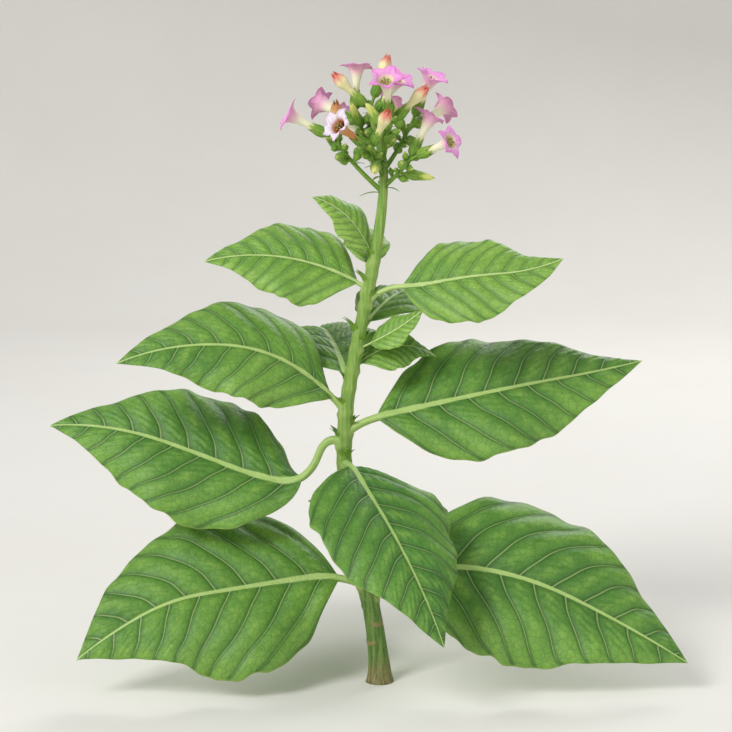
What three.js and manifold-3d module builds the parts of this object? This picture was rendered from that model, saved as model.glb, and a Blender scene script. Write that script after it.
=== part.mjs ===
// A flowering tobacco plant, rooted in level ground and cut flat there.
// One bent stem carries broad stalked leaves and, at its top, a loose head of tubular flowers and buds.
// Millimetres and degrees. +X is the viewer's right, +Y points away from the viewer, +Z is up,
// and the origin is the middle of the flat cut under the stem.
import * as THREE from "three";
import Module from "manifold-3d";
import { mergeVertices } from "three/addons/utils/BufferGeometryUtils.js";

const wasm = await Module();
wasm.setup();

// Driving dimensions of the stem
const stemTop = 822;
// Where the stem turns: height, and how far it stands to the right and to the back there
const stemTurns = [
  [0, 0, 0],
  [335, -51, 8],
  [735, 5, -5],
  [stemTop, -12, 0],
];
// Height and radius of the stem
const stemRadii = [
  [0, 14.5],
  [140, 12],
  [400, 9.4],
  [660, 7.6],
  [stemTop, 3.6],
];
const rootFlare = { grow: 6, height: 16 };
const stemSides = 12;
const stemSteps = 24;

const clearGap = 0.3; // between a leaf, branch or flower and what carries it

// Leaves, from the ground up. height is where the stalk leaves the stem, stalk and blade are lengths along
// the midrib, half is the blade's half width, wave shifts the ripple of its margins. heading, rise and roll
// are keyed by the distance along the midrib: the way the leaf points seen from above, how steeply it
// climbs, and how far it is turned about its midrib.
const leaves = {
  leaf_low_left: {
    height: 141, stalk: 42, blade: 396, half: 130, wave: 0.4,
    heading: [[0, 188], [438, 200]],
    rise: [[0, 24], [90, -6], [240, -6], [330, -26], [438, -36]],
    roll: [[0, -10], [90, -54], [438, -48]],
  },
  leaf_low_right: {
    height: 124, stalk: 52, blade: 440, half: 130, wave: 2.1,
    heading: [[0, -4], [492, -15]],
    rise: [[0, 42], [90, 12], [180, -8], [300, -24], [492, -30]],
    roll: [[0, 10], [100, 50], [492, 44]],
  },
  leaf_low_back: {
    height: 204, stalk: 42, blade: 370, half: 106, wave: 3.3,
    heading: [[0, 80], [410, 74]],
    rise: [[0, 30], [120, 4], [410, -44]],
    roll: [[0, 0], [410, 8]],
  },
  leaf_front: {
    height: 318, stalk: 34, blade: 318, half: 106, wave: 1.2,
    heading: [[0, -76], [120, -58], [350, -44]],
    rise: [[0, 12], [70, -28], [350, -64]],
    roll: [[0, 0], [350, 6]],
  },
  leaf_middle_left: {
    height: 345, stalk: 92, blade: 380, half: 104, wave: 4.2,
    heading: [[0, 186], [100, 176], [472, 168]],
    rise: [[0, 60], [40, -80], [82, -46], [118, 9], [200, 21], [300, 18], [472, -6]],
    roll: [[0, 0], [60, -10], [120, -52], [472, -48]],
  },
  leaf_middle_right: {
    height: 362, stalk: 52, blade: 398, half: 98, wave: 0.9,
    heading: [[0, 6], [450, 14]],
    rise: [[0, 34], [60, 12], [240, 10], [330, 8], [450, 12]],
    roll: [[0, 8], [100, 54], [450, 44]],
  },
  leaf_upper_left: {
    height: 392, stalk: 30, blade: 330, half: 82, wave: 5.1,
    heading: [[0, 196], [350, 188]],
    rise: [[0, 50], [90, 36], [200, 6], [360, -22]],
    roll: [[0, -10], [80, -52], [360, -46]],
  },
  leaf_middle_back: {
    height: 426, stalk: 34, blade: 300, half: 80, wave: 2.7,
    heading: [[0, 106], [330, 100]],
    rise: [[0, 42], [110, 18], [330, -38]],
    roll: [[0, 0], [330, -10]],
  },
  leaf_small_right: {
    height: 452, stalk: 16, blade: 122, half: 40, wave: 1.7,
    heading: [[0, 24], [135, 14]],
    rise: [[0, 44], [60, 14], [135, -34]],
    roll: [[0, 10], [50, 40], [135, 30]],
  },
  leaf_young_right: {
    height: 482, stalk: 22, blade: 92, half: 26, wave: 3.9,
    heading: [[0, -14], [110, -6]],
    rise: [[0, 22], [110, 40]],
    roll: [[0, 10], [40, 50], [110, 44]],
  },
  leaf_upper_back: {
    height: 502, stalk: 30, blade: 236, half: 62, wave: 0.2,
    heading: [[0, 56], [260, 62]],
    rise: [[0, 40], [90, 18], [260, -34]],
    roll: [[0, 0], [260, 12]],
  },
  leaf_upper_right: {
    height: 545, stalk: 62, blade: 228, half: 72, wave: 2.4,
    heading: [[0, -8], [290, -2]],
    rise: [[0, 54], [60, 2], [110, 12], [200, 4], [290, 24]],
    roll: [[0, 8], [80, 54], [285, 40]],
  },
  leaf_top_left: {
    height: 568, stalk: 18, blade: 222, half: 69, wave: 4.6,
    heading: [[0, 176], [240, 186]],
    rise: [[0, 32], [110, 12], [240, -14]],
    roll: [[0, -8], [50, -50], [240, -42]],
  },
  leaf_top_back: {
    height: 588, stalk: 18, blade: 128, half: 35, wave: 5.6,
    heading: [[0, 98], [145, 94]],
    rise: [[0, 58], [145, -10]],
    roll: [[0, 0], [145, 6]],
  },
  leaf_top_small: {
    height: 606, stalk: 16, blade: 118, half: 36, wave: 1.1,
    heading: [[0, 198], [134, 186]],
    rise: [[0, 72], [60, 52], [134, 14]],
    roll: [[0, -8], [40, -50], [134, -36]],
  },
};
const stalkShare = 0.0125; // a leaf stalk's radius against the whole leaf's length
const leafThickness = 1 / 92; // against the leaf's length
const smallLeaf = 160; // a leaf shorter than this has fewer facets

// The flower head. Branches leave the stem one above the other, each turned on from the last by the golden
// angle, and climb more steeply by gain towards their tips. bears lists what a branch carries from its tip
// down, and turn is where the first of them stands about it: 0 is its left, 90 its upper side.
const branch = { footRadius: 3.4, tipRadius: 2.4, steps: 5, sides: 7, firstHeight: 704, apart: 7.5 };
const goldenAngle = 137.5;
const firstHeading = 186;
const branches = [
  { length: 98, rise: 40, gain: 14, turn: 270, bears: ["open", "spent", "green", "young", "young"] },
  { length: 60, rise: 34, gain: 12, turn: 270, bears: ["open", "open", "young", "green"] },
  { length: 72, rise: 44, gain: 14, turn: 200, bears: ["open", "open", "green", "young", "young"] },
  { length: 56, rise: 40, gain: 10, turn: 250, bears: ["faded", "tube", "young", "green"] },
  { length: 74, rise: 52, gain: 12, turn: 160, bears: ["open", "open", "green", "young", "young"] },
  { length: 76, rise: 50, gain: 12, turn: 115, bears: ["open", "open", "green", "young"] },
  { length: 60, rise: 58, gain: 12, turn: 220, bears: ["open", "tube", "green", "young"] },
];
// The uppermost stem bears flowers and buds as a branch does
const crown = { length: 60, turn: 152, bears: ["tube", "tube", "open", "green", "young"] };
// Each next flower leaves its branch further down, leans out further, and is turned on by the golden angle
const fan = { below: 10, lean: 26, leanMore: 13 };

// The kinds of flower. size scales the whole flower, pedicel is its stalk's length
const kinds = {
  open: { size: 1.15, pedicel: 14 },
  faded: { size: 1.15, pedicel: 12 },
  tube: { size: 1.1, pedicel: 14 },
  spent: { size: 1.0, pedicel: 12 },
  green: { size: 1.1, pedicel: 12 },
  young: { size: 1.1, pedicel: 10 },
};
const pedicelRadius = 2.1;
const pedicelSteps = 2;
// A flower's stalk starts between the branch's direction, at 0, and the flower's own, at 1
const pedicelLean = 0.55;

// Outlines of the kinds at size 1: distance from the foot of the calyx, then the radius.
// A third value is the radius between the five lobes.
const calyxOutline = [
  [0, 2.4],
  [3, 5.4],
  [10, 6.8],
  [19, 4.6],
];
const openOutline = [
  ...calyxOutline,
  [31, 4.6],
  [43, 6.8],
  [50.5, 10.6, 9.4],
  [53, 22, 12.4],
  [54.2, 21.6, 12],
  [52, 8.6, 8.2],
  [46, 5.4],
];
const tubeOutline = [...calyxOutline, [28, 4.3], [35, 6.2], [42, 7.8], [49, 6.8], [55, 3.8], [60, 1.2]];
const greenOutline = [
  [0, 2.3],
  [3, 5],
  [9.5, 6.3],
  [17, 5],
  [24, 3.2],
  [29, 0.9],
];
const youngOutline = [
  [0, 2.2],
  [2.5, 5],
  [7, 6.2],
  [12, 4],
  [15.5, 0.9],
];
const lobes = 5;

const radians = (degrees) => (degrees * Math.PI) / 180;
const steady = (from, to, share) => from + (to - from) * share;
const eased = (share) => share * share * (3 - 2 * share);

// The value at s of a list of [s, value, ...] keys, by the given easing between two keys
function keyed(keys, s, column = 1, ease = (share) => share) {
  const last = keys.length - 1;
  const after = keys.findIndex((key) => s < key[0]);
  if (after === 0) return keys[0][column];
  if (after < 0) return keys[last][column];
  const [before, next] = [keys[after - 1], keys[after]];
  return steady(before[column], next[column], ease((s - before[0]) / (next[0] - before[0])));
}

// The unit vector with this heading seen from above and this rise over the horizontal
function pointing(heading, rise) {
  const [h, r] = [radians(heading), radians(rise)];
  return new THREE.Vector3(Math.cos(h) * Math.cos(r), Math.sin(h) * Math.cos(r), Math.sin(r));
}

// Points of a line that is marched on from start by equal steps along directionAt(distance)
function walk(start, length, directionAt, steps) {
  const step = length / steps;
  const points = [start.clone()];
  for (let i = 0; i < steps; i++) {
    const next = points[i].clone().addScaledVector(directionAt((i + 0.5) * step), step);
    points.push(next);
  }
  return points;
}

// A point at distance s on a marched line
function along(points, length, s) {
  const place = Math.min(Math.max(s / length, 0), 1) * (points.length - 1);
  const i = Math.min(Math.floor(place), points.length - 2);
  return points[i].clone().lerp(points[i + 1], place - i);
}

// A closed skin through rings of points that run anticlockwise about the way to the last ring
function loft(rings) {
  const sides = rings[0].length;
  const middle = (ring) => ring.reduce((sum, p) => sum.add(p), new THREE.Vector3()).divideScalar(sides);
  const points = [...rings.flat(), middle(rings[0]), middle(rings.at(-1))];
  const faces = [];
  const foot = points.length - 2;
  const tip = points.length - 1;
  const lastRing = (rings.length - 1) * sides;
  for (let j = 0; j < sides; j++) {
    const k = (j + 1) % sides;
    faces.push(foot, k, j, tip, lastRing + j, lastRing + k);
    for (let low = 0; low < lastRing; low += sides) {
      const high = low + sides;
      faces.push(low + j, low + k, high + k, low + j, high + k, high + j);
    }
  }
  const geometry = new THREE.BufferGeometry().setFromPoints(points);
  geometry.setIndex(faces);
  return geometry;
}

// A round ring about a point, square to the direction. radiusAt gives the radius at each angle
function ring(centre, direction, side, sides, radiusAt) {
  const up = new THREE.Vector3().crossVectors(direction, side).normalize();
  const across = new THREE.Vector3().crossVectors(up, direction);
  return Array.from({ length: sides }, (_, j) => {
    const angle = (2 * Math.PI * j) / sides;
    const radius = radiusAt(j, angle);
    return centre
      .clone()
      .addScaledVector(across, radius * Math.cos(angle))
      .addScaledVector(up, radius * Math.sin(angle));
  });
}

function solidOf(geometry) {
  geometry.deleteAttribute("normal");
  geometry.deleteAttribute("uv");
  const merged = mergeVertices(geometry, 1e-4);
  const mesh = new wasm.Mesh({
    numProp: 3,
    vertProperties: merged.attributes.position.array,
    triVerts: new Uint32Array(merged.index.array),
  });
  return new wasm.Manifold(mesh);
}

function geometryOf(solid) {
  const mesh = solid.getMesh();
  const geometry = new THREE.BufferGeometry();
  geometry.setAttribute("position", new THREE.BufferAttribute(mesh.vertProperties, 3));
  geometry.setIndex(new THREE.BufferAttribute(mesh.triVerts, 1));
  geometry.computeVertexNormals();
  return geometry;
}

const largestPiece = (solid) => solid.decompose().sort((a, b) => b.volume() - a.volume())[0];

// The middle of the stem at a height
function stemMiddle(z) {
  return new THREE.Vector3(keyed(stemTurns, z, 1, eased), keyed(stemTurns, z, 2, eased), z);
}

function stemRadius(z) {
  return keyed(stemRadii, z) + rootFlare.grow * Math.exp(-z / rootFlare.height);
}

// The stem, with level rings so that its foot is a flat cut on the ground. grow widens it for cutting with
function stemSolid(grow) {
  const rings = [];
  for (let i = 0; i <= stemSteps; i++) {
    const z = stemTop * (i / stemSteps) ** 1.15;
    const up = new THREE.Vector3(0, 0, 1);
    const middle = stemMiddle(z);
    if (i === stemSteps) middle.z += grow;
    rings.push(ring(middle, up, new THREE.Vector3(1, 0, 0), stemSides, () => stemRadius(z) + grow));
  }
  return solidOf(loft(rings));
}

// Half width of a blade as a share of its widest, from its foot at 0 to its tip at 1
const bladeOutline = (t) => (t <= 0 || t >= 1 ? 0 : Math.sin(Math.PI * t ** 0.73) ** 1.05);

// How far the blade stands off its midrib's plane: a channel, drooping margins and a slow wave
function bladeLift(leaf, t, v, half) {
  const channel = 0.3 * Math.abs(v) - 0.42 * v * v;
  const wave = 0.085 * Math.abs(v) ** 2.5 * Math.sin(2 * Math.PI * 2.6 * t + leaf.wave + (v > 0 ? 1.9 : 0));
  return half * channel + leaf.half * Math.sin(Math.PI * Math.min(Math.max(t, 0), 1)) * wave;
}

function leafSolid(leaf) {
  const length = leaf.stalk + leaf.blade;
  const small = length < smallLeaf;
  const across = small ? [-1, -0.5, 0, 0.5, 1] : [-1, -0.62, -0.28, 0, 0.28, 0.62, 1];
  const shares = small
    ? [0.06, 0.2, 0.38, 0.58, 0.78, 0.92, 1]
    : [0.03, 0.1, 0.2, 0.31, 0.42, 0.53, 0.64, 0.75, 0.86, 0.95, 1];
  const stalkShares = leaf.stalk > 80 ? [0, 0.2, 0.4, 0.55, 0.7, 0.85] : [0, 0.4, 0.85];
  const distances = [
    ...stalkShares.map((share) => share * leaf.stalk),
    ...shares.map((t) => leaf.stalk + t * leaf.blade),
  ];
  const directionAt = (s) => pointing(keyed(leaf.heading, s), keyed(leaf.rise, s));
  const midrib = walk(stemMiddle(leaf.height), length, directionAt, 96);
  const thickness = length * leafThickness;
  const rings = distances.map((s) => {
    const t = (s - leaf.stalk) / leaf.blade;
    const h = radians(keyed(leaf.heading, s));
    const roll = radians(keyed(leaf.roll, s));
    const level = new THREE.Vector3(-Math.sin(h), Math.cos(h), 0);
    const upright = new THREE.Vector3().crossVectors(directionAt(s), level);
    const side = level.clone().multiplyScalar(Math.cos(roll)).addScaledVector(upright, Math.sin(roll));
    const normal = upright.clone().multiplyScalar(Math.cos(roll)).addScaledVector(level, -Math.sin(roll));
    const rib = length * stalkShare * (1 - 0.75 * Math.max(t, 0));
    const half = Math.max(Math.hypot(rib, leaf.half * bladeOutline(t)), 1.2);
    const middle = along(midrib, length, s);
    // Half the thickness: round near the midrib, and the blade's own thickness beyond it
    const swell = (v) => Math.max(Math.sqrt(Math.max(rib * rib - (v * half) ** 2, 0)), thickness / 2);
    const place = (v, sign) =>
      middle
        .clone()
        .addScaledVector(side, v * half)
        .addScaledVector(normal, (t > 0 ? bladeLift(leaf, t, v, half) : 0) + sign * swell(v));
    return [...across.map((v) => place(v, -1)), ...across.toReversed().map((v) => place(v, 1))];
  });
  return solidOf(loft(rings));
}

// The line of the i-th branch of the flower head, from the lowest up
function branchLine({ length, rise, gain }, i) {
  const foot = stemMiddle(branch.firstHeight + i * branch.apart);
  const heading = firstHeading + i * goldenAngle;
  const directionAt = (s) => pointing(heading, rise + (gain * s) / length);
  return { length, directionAt, points: walk(foot, length, directionAt, branch.steps) };
}

function branchSolid(line, grow) {
  const side = new THREE.Vector3(0, 0, 1).cross(line.directionAt(0)).normalize();
  const rings = line.points.map((p, i) => {
    const share = i / branch.steps;
    const radius = steady(branch.footRadius, branch.tipRadius, share) + grow;
    const direction = line.directionAt(share * line.length);
    const middle = share < 1 ? p : p.clone().addScaledVector(direction, grow);
    return ring(middle, direction, side, branch.sides, () => radius);
  });
  return solidOf(loft(rings));
}

// The uppermost stem as a line, for what its own tip bears
function crownLine({ length }) {
  const foot = stemTop - length;
  const directionAt = (s) => stemMiddle(foot + s + 1).sub(stemMiddle(foot + s - 1)).normalize();
  const points = Array.from({ length: 13 }, (_, i) => stemMiddle(foot + (i / 12) * length));
  return { length, directionAt, points };
}

const outlines = {
  open: openOutline,
  faded: openOutline,
  tube: tubeOutline,
  spent: tubeOutline,
  green: greenOutline,
  young: youngOutline,
};

// The flowers of a line, each with its kind, where it leaves the line and the way it points
function fanned({ bears, turn }, line) {
  return bears.map((kind, k) => {
    const from = line.length - fan.below * k;
    const before = line.directionAt(from);
    const left = new THREE.Vector3(0, 0, 1).cross(before).normalize();
    const above = new THREE.Vector3().crossVectors(before, left);
    const angle = radians(turn + goldenAngle * k);
    const outwards = left.multiplyScalar(Math.cos(angle)).addScaledVector(above, Math.sin(angle));
    const lean = radians(fan.lean + fan.leanMore * k);
    const own = before.clone().multiplyScalar(Math.cos(lean)).addScaledVector(outwards, Math.sin(lean));
    return { kind, start: along(line.points, line.length, from), before, own };
  });
}

// One flower or bud: a stalk that turns to the flower's own direction, then its outline
function flowerSolid({ kind, start, before, own }) {
  const { size, pedicel } = kinds[kind];
  const lean = (s) => steady(pedicelLean, 1, eased(Math.min(s / pedicel, 1)));
  const turning = (s) => before.clone().lerp(own, lean(s)).normalize();
  const stalk = walk(start, pedicel, turning, pedicelSteps);
  const side = new THREE.Vector3(0, 0, 1).cross(own).normalize();
  const starred = kind === "open" || kind === "faded";
  const sides = starred ? 2 * lobes : kind === "tube" || kind === "spent" ? 8 : 6;
  const rings = stalk.slice(0, -1).map((p, i) =>
    ring(p, turning((i / pedicelSteps) * pedicel), side, sides, () => pedicelRadius),
  );
  for (const [distance, radius, between = radius] of outlines[kind]) {
    const middle = stalk.at(-1).clone().addScaledVector(own, distance * size);
    rings.push(ring(middle, own, side, sides, (j) => size * (j % 2 ? between : radius)));
  }
  return solidOf(loft(rings));
}

const plant = new THREE.Group();
plant.name = "tobacco_plant";

const finish = (color, roughness) => new THREE.MeshStandardMaterial({ color, roughness, metalness: 0 });
const stemGreen = finish(0x6f8f3c, 0.6);
const leafGreen = finish(0x4f8a2b, 0.55);
const petalPink = finish(0xe39bc6, 0.6);
const petalFaded = finish(0xd9cbe0, 0.65);
const tubeCream = finish(0xd9d49a, 0.6);

function add(name, solid, material) {
  const mesh = new THREE.Mesh(geometryOf(solid), material);
  mesh.name = name;
  plant.add(mesh);
}

const cutStem = stemSolid(clearGap);
add("stem", stemSolid(0), stemGreen);

for (const [name, leaf] of Object.entries(leaves)) {
  add(name, largestPiece(leafSolid(leaf).subtract(cutStem)), leafGreen);
}

const flowerFinish = { open: petalPink, faded: petalFaded, tube: tubeCream, spent: tubeCream };
const counts = {};

// Names a flower and gives it its finish, after it is cut clear of what bears it
function addFlower(flower, cutter) {
  const { kind } = flower;
  counts[kind] = (counts[kind] ?? 0) + 1;
  const name = flowerFinish[kind] ? `${kind}_flower_${counts[kind]}` : `top_${kind}_bud_${counts[kind]}`;
  add(name, largestPiece(flowerSolid(flower).subtract(cutter)), flowerFinish[kind] ?? stemGreen);
}

branches.forEach((entry, i) => {
  const line = branchLine(entry, i);
  const flowers = fanned(entry, line);
  // Green and young buds are one solid with their branch
  const buds = flowers.filter(({ kind }) => !flowerFinish[kind]).map(flowerSolid);
  const bearer = buds.reduce((solid, bud) => solid.add(bud), branchSolid(line, 0));
  add(`head_branch_${i + 1}`, largestPiece(bearer.subtract(cutStem)), stemGreen);
  const cutter = branchSolid(line, clearGap).add(cutStem);
  for (const flower of flowers.filter(({ kind }) => flowerFinish[kind])) addFlower(flower, cutter);
});
for (const flower of fanned(crown, crownLine(crown))) addFlower(flower, cutStem);

export default plant;
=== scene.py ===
# A flowering tobacco plant on a pale floor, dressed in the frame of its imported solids.
# Lengths are in millimetres and angles in degrees; a mesh is put into metres where it is made.
# +X is the viewer's right, +Y points away from the viewer, and the middle of the stem's foot is the origin.
import bpy
import numpy as np
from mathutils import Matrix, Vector


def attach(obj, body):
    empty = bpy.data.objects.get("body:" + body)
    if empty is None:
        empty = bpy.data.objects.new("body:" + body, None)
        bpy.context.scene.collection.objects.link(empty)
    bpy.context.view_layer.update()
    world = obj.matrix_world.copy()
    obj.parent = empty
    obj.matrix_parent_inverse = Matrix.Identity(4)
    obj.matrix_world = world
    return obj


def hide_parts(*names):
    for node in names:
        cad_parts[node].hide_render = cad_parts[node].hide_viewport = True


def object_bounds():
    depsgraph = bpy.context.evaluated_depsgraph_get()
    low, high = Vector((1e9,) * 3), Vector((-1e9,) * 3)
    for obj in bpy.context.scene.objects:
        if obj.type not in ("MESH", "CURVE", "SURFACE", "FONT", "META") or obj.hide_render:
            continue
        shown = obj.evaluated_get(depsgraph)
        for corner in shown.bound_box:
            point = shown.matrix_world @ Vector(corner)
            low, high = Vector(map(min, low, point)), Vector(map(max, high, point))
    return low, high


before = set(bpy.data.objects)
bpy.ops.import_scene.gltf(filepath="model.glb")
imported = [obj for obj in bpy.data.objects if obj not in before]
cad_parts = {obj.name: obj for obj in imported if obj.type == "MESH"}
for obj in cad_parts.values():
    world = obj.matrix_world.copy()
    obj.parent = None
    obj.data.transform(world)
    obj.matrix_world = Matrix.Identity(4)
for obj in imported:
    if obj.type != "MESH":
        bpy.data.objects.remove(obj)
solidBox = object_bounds()
chance = np.random.default_rng(41)
millimetre = 0.001
goldenAngle = 137.5
print("frame loaded with", len(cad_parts), "nodes")


# 3x² - 2x³ of a share, held between 0 and 1
def eased(share):
    share = np.clip(share, 0, 1)
    return share * share * (3 - 2 * share)


# Straight lines between [place, value] keys
def keyed(keys, place):
    places, values = np.array(keys, float).T
    return np.interp(place, places, values)


# The mean of five readings of the keys within reach of the place, so that their corners are rounded
def softKeyed(keys, place, reach):
    return np.mean([keyed(keys, place + shift) for shift in np.linspace(-reach, reach, 5)], axis=0)


# Values spread to one shape and set side by side, as the three numbers of a point
def threes(*values):
    return np.stack(np.broadcast_arrays(*values), -1)


# (cos h cos r, sin h cos r, sin r) of a heading seen from above and a rise over the horizontal
def pointing(heading, rise):
    h, r = np.radians(heading), np.radians(rise)
    return threes(np.cos(h) * np.cos(r), np.sin(h) * np.cos(r), np.sin(r))


# A vector over its own length
def unit(vector):
    return vector / np.linalg.norm(vector, axis=-1, keepdims=True)


# The start, then the start plus each running sum of equal steps along the directions
def marched(start, directions, step):
    return np.vstack([start, start + np.cumsum(directions * step, axis=0)])


# Points at distances s along a line of evenly spaced points
def along(points, length, s):
    places = np.linspace(0, length, len(points))
    return np.stack([np.interp(s, places, column) for column in points.T], -1)


# A smooth curve through rows of values: each stretch is the cubic whose slopes at its two ends
# are half the step from the row before to the row after
def smoothThrough(rows, count):
    rows = np.array(rows, float)
    padded = np.vstack([2 * rows[0] - rows[1], rows, 2 * rows[-1] - rows[-2]])
    place = np.linspace(0, len(rows) - 1, count)
    i = np.minimum(place.astype(int), len(rows) - 2)
    f = (place - i)[:, None]
    before, first, second, after = padded[i], padded[i + 1], padded[i + 2], padded[i + 3]
    return first + 0.5 * f * (second - before + f * (
        2 * before - 5 * first + 4 * second - after + f * (3 * (first - second) + after - before)))


# A side vector and an up vector square to each direction: side is vertical × direction, and up is
# direction × side
def squareTo(direction):
    side = unit(np.cross([0, 0, 1], direction))
    return side, np.cross(direction, side)


# Rings about the middles: middle + side · r cos a + up · r sin a
def rings(middles, side, up, radius, angle):
    return (middles[..., None, :] + side[..., None, :] * (radius * np.cos(angle))[..., None]
            + up[..., None, :] * (radius * np.sin(angle))[..., None])


# The angles of this many points evenly round a ring
def aroundBy(columns):
    return np.linspace(0, 2 * np.pi, columns, endpoint=False)[None]


# Joins skins into one closed mesh piece. A skin is its points, of shape skins × rings × points × 3, and the
# place and trait that are kept at each. Its rings run anticlockwise about the way to the last one, and each
# end is a fan to its middle. Faces in a ring's second half start a corner later, so that both sides of a
# thin blade split the same way
def makePiece(name, skins, material, nodes=()):
    vertices, places, traits, quads, fans = [], [], [], [], []
    first = 0
    for points, place, trait in skins:
        count, rowCount, columns = points.shape[:3]
        size = rowCount * columns + 2
        for given, gathered in ((points, vertices), (place, places), (trait, traits)):
            given = np.broadcast_to(given, points.shape)
            ends = given[:, [0, -1]].mean(axis=2)
            gathered.append(np.concatenate([given.reshape(count, -1, 3), ends], axis=1).reshape(-1, 3))
        j = np.arange(columns)
        k = (j + 1) % columns
        low = (np.arange(rowCount - 1) * columns)[:, None]
        last = (rowCount - 1) * columns
        walls = np.stack([low + j, low + k, low + columns + k, low + columns + j], -1)
        walls[:, columns // 2:] = np.roll(walls[:, columns // 2:], -1, axis=-1)
        foot = np.stack([np.full(columns, size - 2), k, j], -1)
        tip = np.stack([np.full(columns, size - 1), last + j, last + k], -1)
        starts = first + np.arange(count)[:, None, None] * size
        quads.append((walls.reshape(-1, 4) + starts).reshape(-1, 4))
        fans.append((np.vstack([foot, tip]) + starts).reshape(-1, 3))
        first += count * size
    kept = {"place": np.vstack(places), "trait": np.vstack(traits)}
    fillMesh(name, np.vstack(vertices), np.vstack(quads), np.vstack(fans), kept, material, nodes)


# Puts arrays of points and faces into a mesh with what it keeps at each point, gives it its material, and
# lets it ride on the plant's body
def fillMesh(name, points, quads, triangles, kept, material, nodes):
    mesh = bpy.data.meshes.new(name)
    mesh.vertices.add(len(points))
    mesh.vertices.foreach_set("co", (points * millimetre).ravel())
    corners = np.concatenate([quads.ravel(), triangles.ravel()])
    mesh.loops.add(len(corners))
    mesh.loops.foreach_set("vertex_index", corners)
    starts = np.concatenate([np.arange(len(quads)) * 4, len(quads) * 4 + np.arange(len(triangles)) * 3])
    mesh.polygons.add(len(starts))
    mesh.polygons.foreach_set("loop_start", starts)
    mesh.polygons.foreach_set("use_smooth", np.ones(len(starts), bool))
    mesh.update(calc_edges=True)
    for label, values in kept.items():
        mesh.attributes.new(label, "FLOAT_VECTOR", "POINT").data.foreach_set("vector", values.ravel())
    mesh.materials.append(material)
    piece = bpy.data.objects.new(name, mesh)
    bpy.context.scene.collection.objects.link(piece)
    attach(piece, "root")
    if nodes:
        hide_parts(*nodes)
    print(name, "has", 2 * len(quads) + len(triangles), "triangles")


# Short hairs on a skin: width of a foot, how deep it sits, length, and how far they stray from straight out
hairs = {"width": 0.1, "sunk": 0.3, "shortest": 0.7, "longest": 1.5, "stray": 0.27}


# Four points for each of count hairs: a foot of three points at middle + side · r cos a + up · r sin a, and a
# tip straight on from it. The middle is a random place on the skin between two rows of its grid, and a hair
# points along (step across the grid) × (step along it), which is outwards, plus a random stray
def hairSpikes(points, count, lowRow=0, highRow=None):
    points = points[:, lowRow:highRow]
    across = np.roll(points, -1, axis=2) - points
    onward = np.diff(points, axis=1)
    pick = tuple(chance.integers(0, size, count) for size in onward.shape[:3])
    shares = chance.uniform(0, 1, (count, 2))
    middle = points[:, :-1][pick] + across[:, :-1][pick] * shares[:, :1] + onward[pick] * shares[:, 1:]
    out = unit(np.cross(across[:, :-1][pick], onward[pick]))
    out = unit(out + hairs["stray"] * chance.normal(0, 1, (count, 3)))
    side, up = squareTo(out)
    foot = middle - hairs["sunk"] * out
    feet = rings(foot, side, up, np.full((count, 1), hairs["width"]), aroundBy(3))
    length = chance.uniform(hairs["shortest"], hairs["longest"], (count, 1))
    return np.concatenate([feet, (middle + length * out)[:, None]], axis=1)


# Joins hairs into one piece of four faces each
def makeHairs(name, spikes, material):
    spikes = np.concatenate(spikes)
    faces = np.array([(0, 2, 1), (0, 1, 3), (1, 2, 3), (2, 0, 3)])
    faces = (faces + 4 * np.arange(len(spikes))[:, None, None]).reshape(-1, 3)
    fillMesh(name, spikes.reshape(-1, 3), np.zeros((0, 4), int), faces, {}, material, ())


# The colour that a screen shows as #rrggbb, in linear light: ((c + 0.055) / 1.055) to the power 2.4
def paint(text):
    parts = [int(text[i:i + 2], 16) / 255 for i in (1, 3, 5)]
    return (*[c / 12.92 if c <= 0.04045 else ((c + 0.055) / 1.055) ** 2.4 for c in parts], 1)


# A socket of a material. Arithmetic on it adds a Math node and gives that node's socket
class Wire:
    def __init__(self, board, socket):
        self.board, self.socket = board, socket

    def __add__(self, other):
        return self.board.math("ADD", self, other)

    def __radd__(self, other):
        return self.board.math("ADD", other, self)

    def __sub__(self, other):
        return self.board.math("SUBTRACT", self, other)

    def __rsub__(self, other):
        return self.board.math("SUBTRACT", other, self)

    def __mul__(self, other):
        return self.board.math("MULTIPLY", self, other)

    def __rmul__(self, other):
        return self.board.math("MULTIPLY", other, self)

    def __truediv__(self, other):
        return self.board.math("DIVIDE", self, other)


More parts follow.
